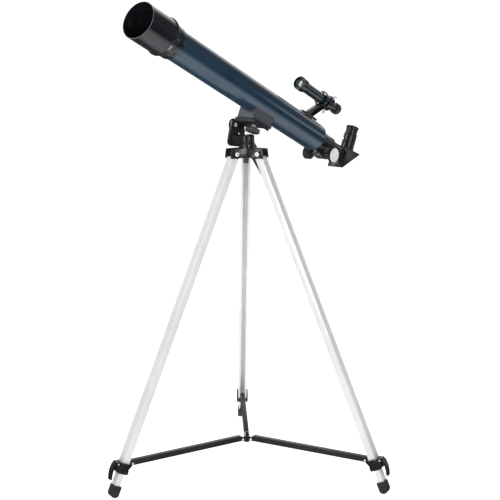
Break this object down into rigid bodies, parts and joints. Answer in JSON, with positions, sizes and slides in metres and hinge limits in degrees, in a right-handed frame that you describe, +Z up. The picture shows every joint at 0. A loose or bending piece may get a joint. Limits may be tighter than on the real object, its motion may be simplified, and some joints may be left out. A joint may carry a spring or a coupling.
{
  "type": "telescope on tripod",
  "caption": "Refracting telescope with a finder, star diagonal and eyepiece, on a pan and tilt head and a folding channel-leg tripod with a spreader.",
  "frame": {"origin": "on the ground, below the middle of the whole object's bounding box", "axes": "+Z up; the tripod's back leg points along +Y; the tube points forward and left, towards -X and -Y, and up"},
  "size_m": [0.558, 0.5626, 0.9522],
  "materials": {
    "blue_paint": "gloss",
    "black_plastic": "satin",
    "grey_plastic": "satin",
    "black_steel": "satin",
    "leg_aluminium": "satin",
    "bright_steel": "polished",
    "black_rubber": "matte",
    "lens_glass": "polished",
    "silvered_mirror": "polished"
  },
  "bodies": {
    "tripod_hub": {"tripod_hub": "black_plastic", "leg_bolt_left": "bright_steel", "leg_bolt_right": "bright_steel", "leg_bolt_back": "bright_steel"},
    "leg_left": {"leg_cap_left": "black_plastic", "upper_leg_left": "leg_aluminium", "clamp_left": "black_plastic", "arm_pin_left": "bright_steel"},
    "lower_leg_left": {"lower_leg_left": "leg_aluminium", "foot_left": "black_rubber"},
    "flip_lever_left": {"flip_lever_left": "black_plastic"},
    "spreader_arm_left": {"spreader_arm_left": "black_steel"},
    "leg_right": {"leg_cap_right": "black_plastic", "upper_leg_right": "leg_aluminium", "clamp_right": "black_plastic", "arm_pin_right": "bright_steel"},
    "lower_leg_right": {"lower_leg_right": "leg_aluminium", "foot_right": "black_rubber"},
    "flip_lever_right": {"flip_lever_right": "black_plastic"},
    "spreader_arm_right": {"spreader_arm_right": "black_steel"},
    "leg_back": {"leg_cap_back": "black_plastic", "upper_leg_back": "leg_aluminium", "clamp_back": "black_plastic", "arm_pin_back": "bright_steel"},
    "lower_leg_back": {"lower_leg_back": "leg_aluminium", "foot_back": "black_rubber"},
    "flip_lever_back": {"flip_lever_back": "black_plastic"},
    "spreader_arm_back": {"spreader_arm_back": "black_steel"},
    "spreader_hub": {"spreader_hub": "black_plastic"},
    "pan_head": {"pan_head": "black_plastic"},
    "optical_tube": {"tilt_plate": "grey_plastic", "tilt_bolt": "bright_steel", "tilt_nut": "bright_steel", "saddle": "blue_paint", "main_tube": "blue_paint", "lens_cell": "black_plastic", "objective_lens": "lens_glass", "focuser_body": "black_plastic", "finder_bracket": "black_plastic", "finder_tube": "black_plastic", "finder_lens": "lens_glass"},
    "pan_handle": {"handle_rod": "bright_steel", "handle_grip": "black_rubber"},
    "camera_screw": {"camera_screw": "black_plastic"},
    "dew_shield": {"dew_shield": "black_plastic"},
    "focus_knobs": {"focus_shaft": "bright_steel", "focus_knob_left": "black_rubber", "focus_knob_cap": "bright_steel", "focus_knob_right": "black_rubber"},
    "drawtube": {"drawtube": "black_plastic"},
    "diagonal": {"diagonal_body": "black_plastic", "diagonal_mirror": "silvered_mirror"},
    "eyepiece": {"eyepiece_barrel": "black_plastic", "eyepiece_lens": "lens_glass"},
    "eyepiece_screw": {"eyepiece_screw": "bright_steel"},
    "finder_eyepiece": {"finder_eyepiece": "black_plastic"},
    "finder_screw_1": {"finder_screw_1": "bright_steel"},
    "finder_screw_2": {"finder_screw_2": "bright_steel"},
    "finder_screw_3": {"finder_screw_3": "bright_steel"}
  },
  "joints": [
    {"name": "leg_fold_left", "type": "hinge", "parent": "tripod_hub", "child": "leg_left", "pos_m": [-0.02598, -0.05064, 0.65683], "axis": [0.5, -0.866, 0], "range_deg": [0, 2.4]},
    {"name": "leg_extend_left", "type": "slide", "parent": "leg_left", "child": "lower_leg_left", "axis": [-0.3444, -0.1988, -0.9175], "range_m": [0, 0.45]},
    {"name": "lever_open_left", "type": "hinge", "parent": "leg_left", "child": "flip_lever_left", "pos_m": [-0.25984, -0.18566, 0.0674], "axis": [-0.5, 0.866, 0], "range_deg": [0, 80]},
    {"name": "arm_fold_left", "type": "hinge", "parent": "leg_left", "child": "spreader_arm_left", "pos_m": [-0.23167, -0.1694, 0.06104], "axis": [0.5, -0.866, 0], "range_deg": [0, 26.5]},
    {"name": "leg_fold_right", "type": "hinge", "parent": "tripod_hub", "child": "leg_right", "pos_m": [0.02598, -0.05064, 0.65683], "axis": [0.5, 0.866, 0], "range_deg": [0, 2.4]},
    {"name": "leg_extend_right", "type": "slide", "parent": "leg_right", "child": "lower_leg_right", "axis": [0.3444, -0.1988, -0.9175], "range_m": [0, 0.45]},
    {"name": "lever_open_right", "type": "hinge", "parent": "leg_right", "child": "flip_lever_right", "pos_m": [0.25984, -0.18566, 0.0674], "axis": [-0.5, -0.866, 0], "range_deg": [0, 80]},
    {"name": "arm_fold_right", "type": "hinge", "parent": "leg_right", "child": "spreader_arm_right", "pos_m": [0.23167, -0.1694, 0.06104], "axis": [0.5, 0.866, 0], "range_deg": [0, 26.5]},
    {"name": "leg_fold_back", "type": "hinge", "parent": "tripod_hub", "child": "leg_back", "pos_m": [0, -0.00564, 0.65683], "axis": [-1, 0, 0], "range_deg": [0, 2.4]},
    {"name": "leg_extend_back", "type": "slide", "parent": "leg_back", "child": "lower_leg_back", "axis": [0, 0.3976, -0.9175], "range_m": [0, 0.45]},
    {"name": "lever_open_back", "type": "hinge", "parent": "leg_back", "child": "flip_lever_back", "pos_m": [0, 0.26439, 0.0674], "axis": [1, 0, 0], "range_deg": [0, 80]},
    {"name": "arm_fold_back", "type": "hinge", "parent": "leg_back", "child": "spreader_arm_back", "pos_m": [0, 0.23187, 0.06104], "axis": [-1, 0, 0], "range_deg": [0, 26.5]},
    {"name": "spreader_lift", "type": "slide", "parent": "tripod_hub", "child": "spreader_hub", "axis": [0, 0, 1], "range_m": [0, 0.1132]},
    {"name": "pan", "type": "hinge", "parent": "tripod_hub", "child": "pan_head", "pos_m": [0, -0.03564, 0.68853], "axis": [0, 0, 1], "continuous": true},
    {"name": "tilt", "type": "hinge", "parent": "pan_head", "child": "optical_tube", "pos_m": [-0.02221, -0.01548, 0.71053], "axis": [-0.7405, 0.6721, 0], "range_deg": [-45, 8]},
    {"name": "handle_twist", "type": "hinge", "parent": "optical_tube", "child": "pan_handle", "pos_m": [-0.02222, -0.00284, 0.71846], "axis": [0.437, 0.4815, -0.7597], "range_deg": [0, 360]},
    {"name": "camera_screw_turn", "type": "hinge", "parent": "optical_tube", "child": "camera_screw", "pos_m": [0.01325, -0.02104, 0.70258], "axis": [-0.2929, -0.3227, -0.9], "range_deg": [0, 720]},
    {"name": "dew_shield_slide", "type": "slide", "parent": "optical_tube", "child": "dew_shield", "axis": [-0.6049, -0.6664, 0.4359], "range_m": [0, 0.05]},
    {"name": "focus", "type": "hinge", "parent": "optical_tube", "child": "focus_knobs", "pos_m": [0.16537, 0.14654, 0.63075], "axis": [-0.7405, 0.6721, 0], "range_deg": [-344, 573]},
    {"name": "drawtube_slide", "type": "slide", "parent": "optical_tube", "child": "drawtube", "axis": [0.6049, 0.6664, -0.4359], "range_m": [-0.03, 0.05]},
    {"name": "diagonal_turn", "type": "hinge", "parent": "drawtube", "child": "diagonal", "pos_m": [0.20869, 0.19427, 0.6262], "axis": [-0.6049, -0.6664, 0.4359], "continuous": true},
    {"name": "eyepiece_slide", "type": "slide", "parent": "diagonal", "child": "eyepiece", "axis": [0.2929, 0.3227, 0.9], "range_m": [0, 0.035]},
    {"name": "eyepiece_screw_turn", "type": "hinge", "parent": "diagonal", "child": "eyepiece_screw", "pos_m": [0.21865, 0.20525, 0.6568], "axis": [-0.6049, -0.6664, 0.4359], "range_deg": [0, 720]},
    {"name": "finder_focus", "type": "hinge", "parent": "optical_tube", "child": "finder_eyepiece", "pos_m": [0.19945, 0.18408, 0.72398], "axis": [-0.6049, -0.6664, 0.4359], "range_deg": [-180, 180]},
    {"name": "finder_screw_1_turn", "type": "hinge", "parent": "optical_tube", "child": "finder_screw_1", "pos_m": [0.19342, 0.15168, 0.74867], "axis": [0.7877, -0.4207, 0.45], "range_deg": [-360, 360]},
    {"name": "finder_screw_2_turn", "type": "hinge", "parent": "optical_tube", "child": "finder_screw_2", "pos_m": [0.16777, 0.17496, 0.74867], "axis": [-0.4948, 0.7434, 0.45], "range_deg": [-360, 360]},
    {"name": "finder_screw_3_turn", "type": "hinge", "parent": "optical_tube", "child": "finder_screw_3", "pos_m": [0.17181, 0.15364, 0.72167], "axis": [-0.2929, -0.3227, -0.9], "range_deg": [-360, 360]}
  ],
  "couplings": [
    {"joint": "arm_fold_left", "follows": "leg_fold_left", "ratio": 11},
    {"joint": "leg_fold_right", "follows": "leg_fold_left", "ratio": 1},
    {"joint": "arm_fold_right", "follows": "leg_fold_left", "ratio": 11},
    {"joint": "leg_fold_back", "follows": "leg_fold_left", "ratio": 1},
    {"joint": "arm_fold_back", "follows": "leg_fold_left", "ratio": 11},
    {"joint": "spreader_lift", "follows": "leg_fold_left", "m_per_rad": 2.7},
    {"joint": "focus", "follows": "drawtube_slide", "rad_per_m": 200}
  ]
}
